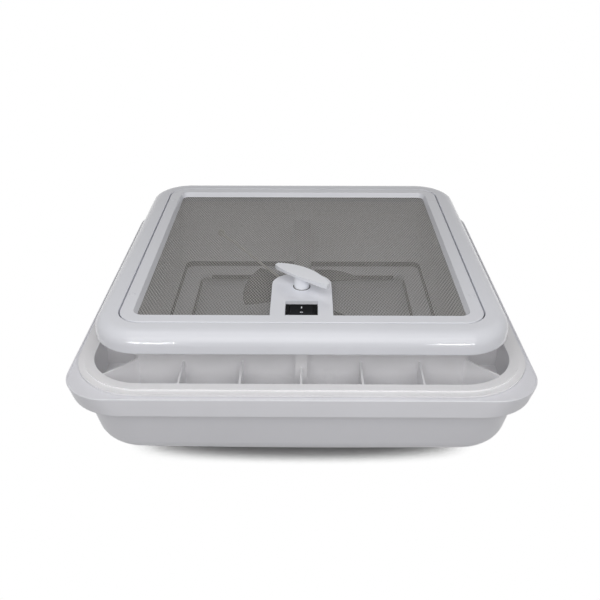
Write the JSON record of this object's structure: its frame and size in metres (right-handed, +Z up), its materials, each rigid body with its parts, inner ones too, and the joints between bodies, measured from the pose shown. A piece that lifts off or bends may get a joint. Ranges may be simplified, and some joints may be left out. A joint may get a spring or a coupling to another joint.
{
  "type": "caravan roof vent",
  "caption": "Square caravan roof vent with a domed lid opened by a crank through a worm and lift arm, a fan under the fly screen and a ceiling garnish.",
  "frame": {"origin": "middle of the lid's flat crown, on which the vent lies upside down", "axes": "+Z up towards the ceiling side, +Y from the crank handle to the lid hinge, +X across to the right of someone at the handle"},
  "size_m": [0.476, 0.4875, 0.1747],
  "materials": {
    "gloss_white": "glossy moulded",
    "body_white": "satin moulded",
    "natural_nylon": "satin moulded",
    "black_plastic": "fine grained",
    "fan_grey": "satin moulded",
    "black_rubber": "matte extruded",
    "screen_mesh": "woven",
    "zinc_steel": "zinc plated",
    "strap_aluminium": "mill finish",
    "motor_grey": "satin",
    "contact_brass": "bright",
    "lead_sheath": "smooth extruded"
  },
  "bodies": {
    "frame": {"roof_frame": "body_white", "garnish": "gloss_white", "garnish_screws": "zinc_steel", "screen_frame": "gloss_white", "flyscreen_mesh": "screen_mesh", "screen_spline": "black_rubber", "screen_screws": "zinc_steel", "screw_caps": "gloss_white", "switch_body": "black_plastic", "switch_terminals": "contact_brass", "gear_bracket": "natural_nylon", "bracket_screws": "zinc_steel", "arm_pin": "zinc_steel", "motor_strap": "strap_aluminium", "strap_screws": "zinc_steel", "motor_screws": "zinc_steel", "fan_motor": "motor_grey", "motor_end_cap": "black_plastic", "fan_lead": "lead_sheath", "lead_grommets": "natural_nylon"},
    "lid": {"lid_dome": "body_white", "lid_rim": "body_white", "lid_inner_frame": "body_white", "lid_seal": "black_rubber", "lid_edge_trim": "black_rubber", "lid_hinge_leaves": "body_white", "lid_hinge_screws": "zinc_steel", "hinge_pins": "zinc_steel", "lift_track": "natural_nylon", "track_screws": "zinc_steel"},
    "crank": {"handle": "gloss_white", "spindle": "zinc_steel", "worm": "natural_nylon", "stem_clip": "zinc_steel"},
    "arm": {"lift_arm": "zinc_steel", "roller_pin": "zinc_steel", "arm_roller": "natural_nylon"},
    "rotor": {"fan": "fan_grey", "motor_shaft": "zinc_steel", "fan_clip": "zinc_steel"},
    "rocker": {"switch_rocker": "black_plastic"}
  },
  "joints": [
    {"name": "lid_hinge", "type": "hinge", "parent": "frame", "child": "lid", "pos_m": [0, 0.245, 0.0995], "axis": [1, 0, 0], "range_deg": [0, 30]},
    {"name": "arm_swing", "type": "hinge", "parent": "frame", "child": "arm", "pos_m": [0, -0.0731, 0.072], "axis": [1, 0, 0], "range_deg": [-30, 0]},
    {"name": "crank_turn", "type": "hinge", "parent": "frame", "child": "crank", "pos_m": [0, -0.1096, 0.1], "axis": [0, 0, 1], "range_deg": [-1200, 0]},
    {"name": "fan_spin", "type": "hinge", "parent": "frame", "child": "rotor", "pos_m": [0, 0, 0.091], "axis": [0, 0, 1], "continuous": true},
    {"name": "switch_tilt", "type": "hinge", "parent": "frame", "child": "rocker", "pos_m": [0, -0.1561, 0.1485], "axis": [1, 0, 0], "range_deg": [-10, 10]}
  ],
  "couplings": [
    {"joint": "arm_swing", "follows": "lid_hinge", "ratio": -1},
    {"joint": "crank_turn", "follows": "lid_hinge", "ratio": -40}
  ]
}
